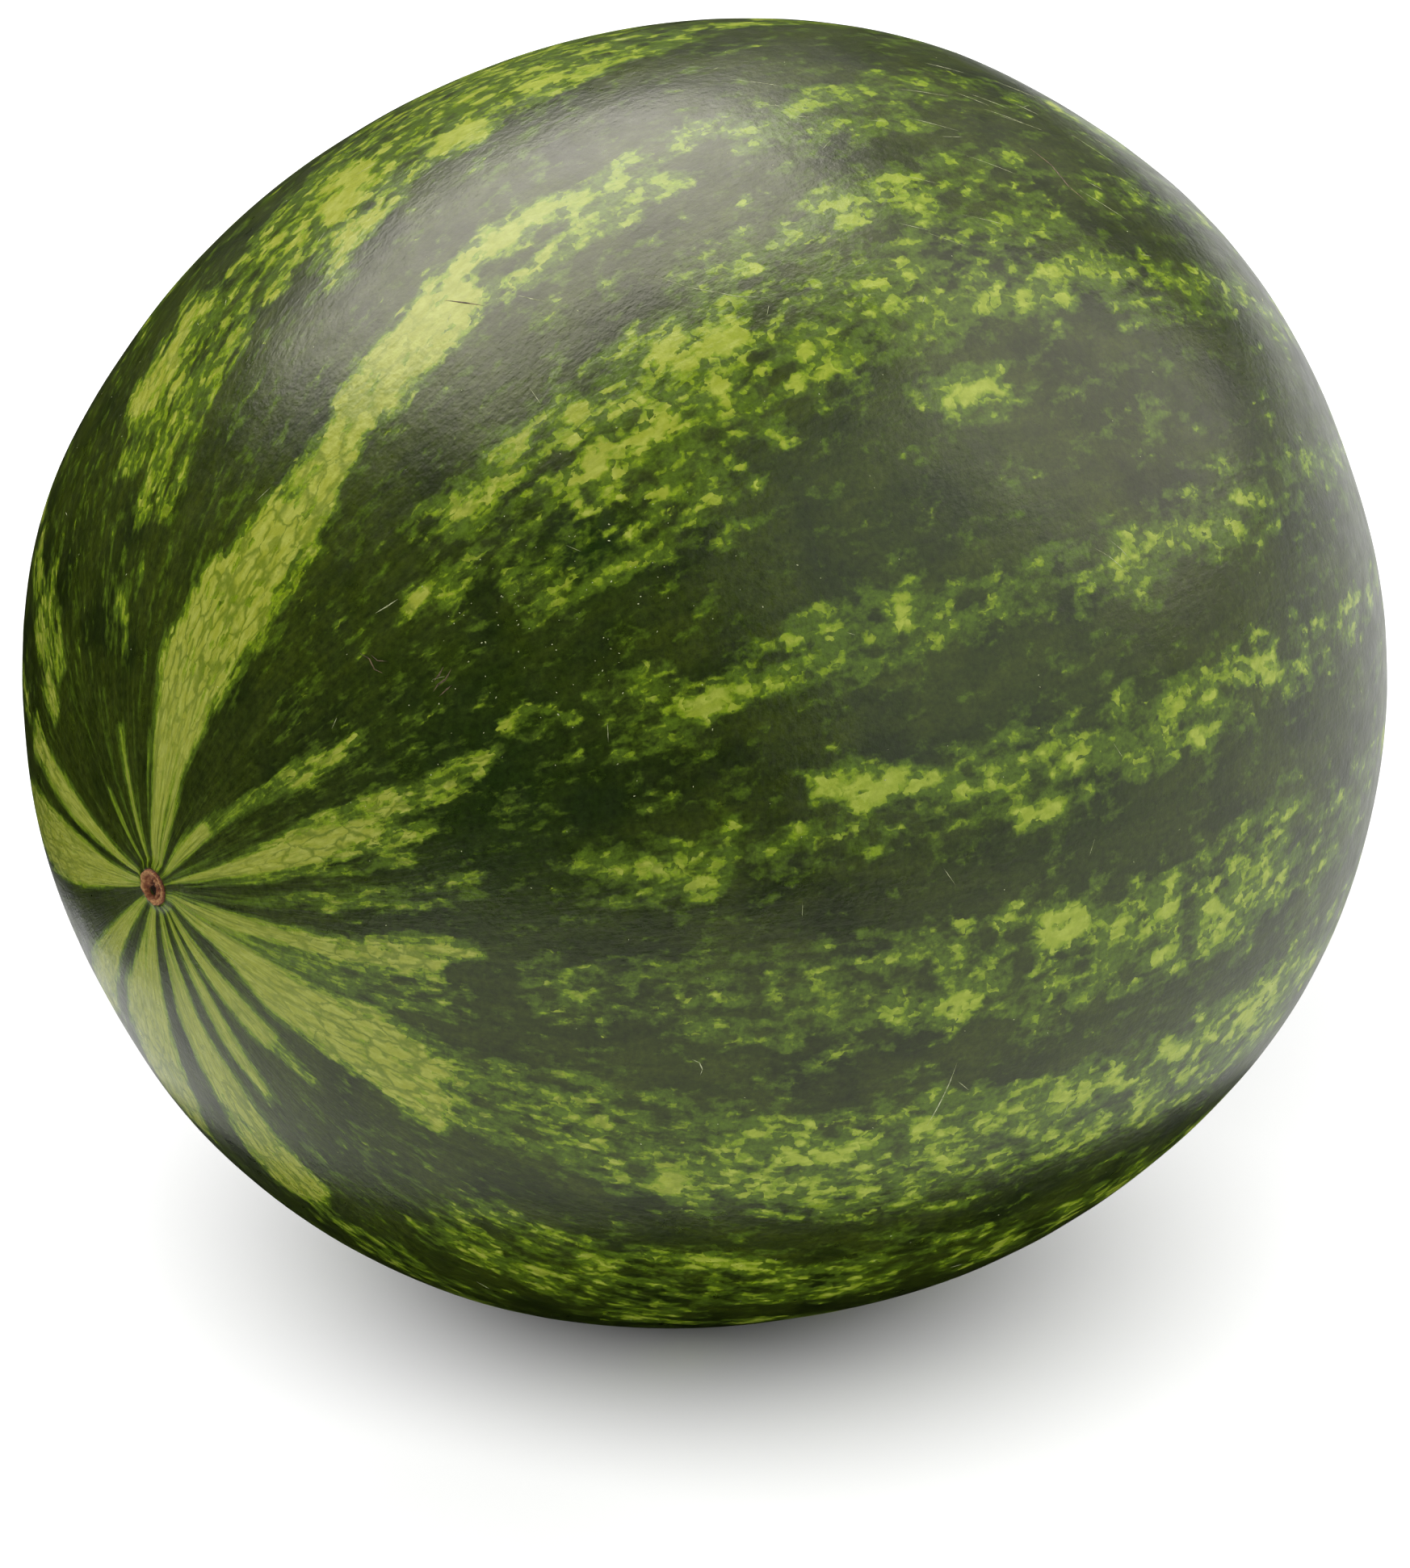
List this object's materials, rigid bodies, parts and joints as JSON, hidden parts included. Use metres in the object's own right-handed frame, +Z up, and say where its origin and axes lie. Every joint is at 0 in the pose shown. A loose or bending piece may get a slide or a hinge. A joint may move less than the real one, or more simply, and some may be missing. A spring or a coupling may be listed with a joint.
{
  "type": "mini seedless watermelon",
  "caption": "Whole round fruit with a striped, waxy green rind, a corky stem scar at one end and a blossom scar at the other, lying on a small flat spot.",
  "frame": {"origin": "middle of the fruit's box, on the plane it rests on", "axes": "+X along the fruit's long axis from the stem scar to the blossom scar, +Z up, -Y towards the best side"},
  "size_m": [0.1722, 0.1622, 0.1606],
  "materials": {
    "rind": "satin, waxy",
    "scar": "dry, corky"
  },
  "bodies": {
    "root": {"watermelon": "rind"}
  },
  "joints": []
}
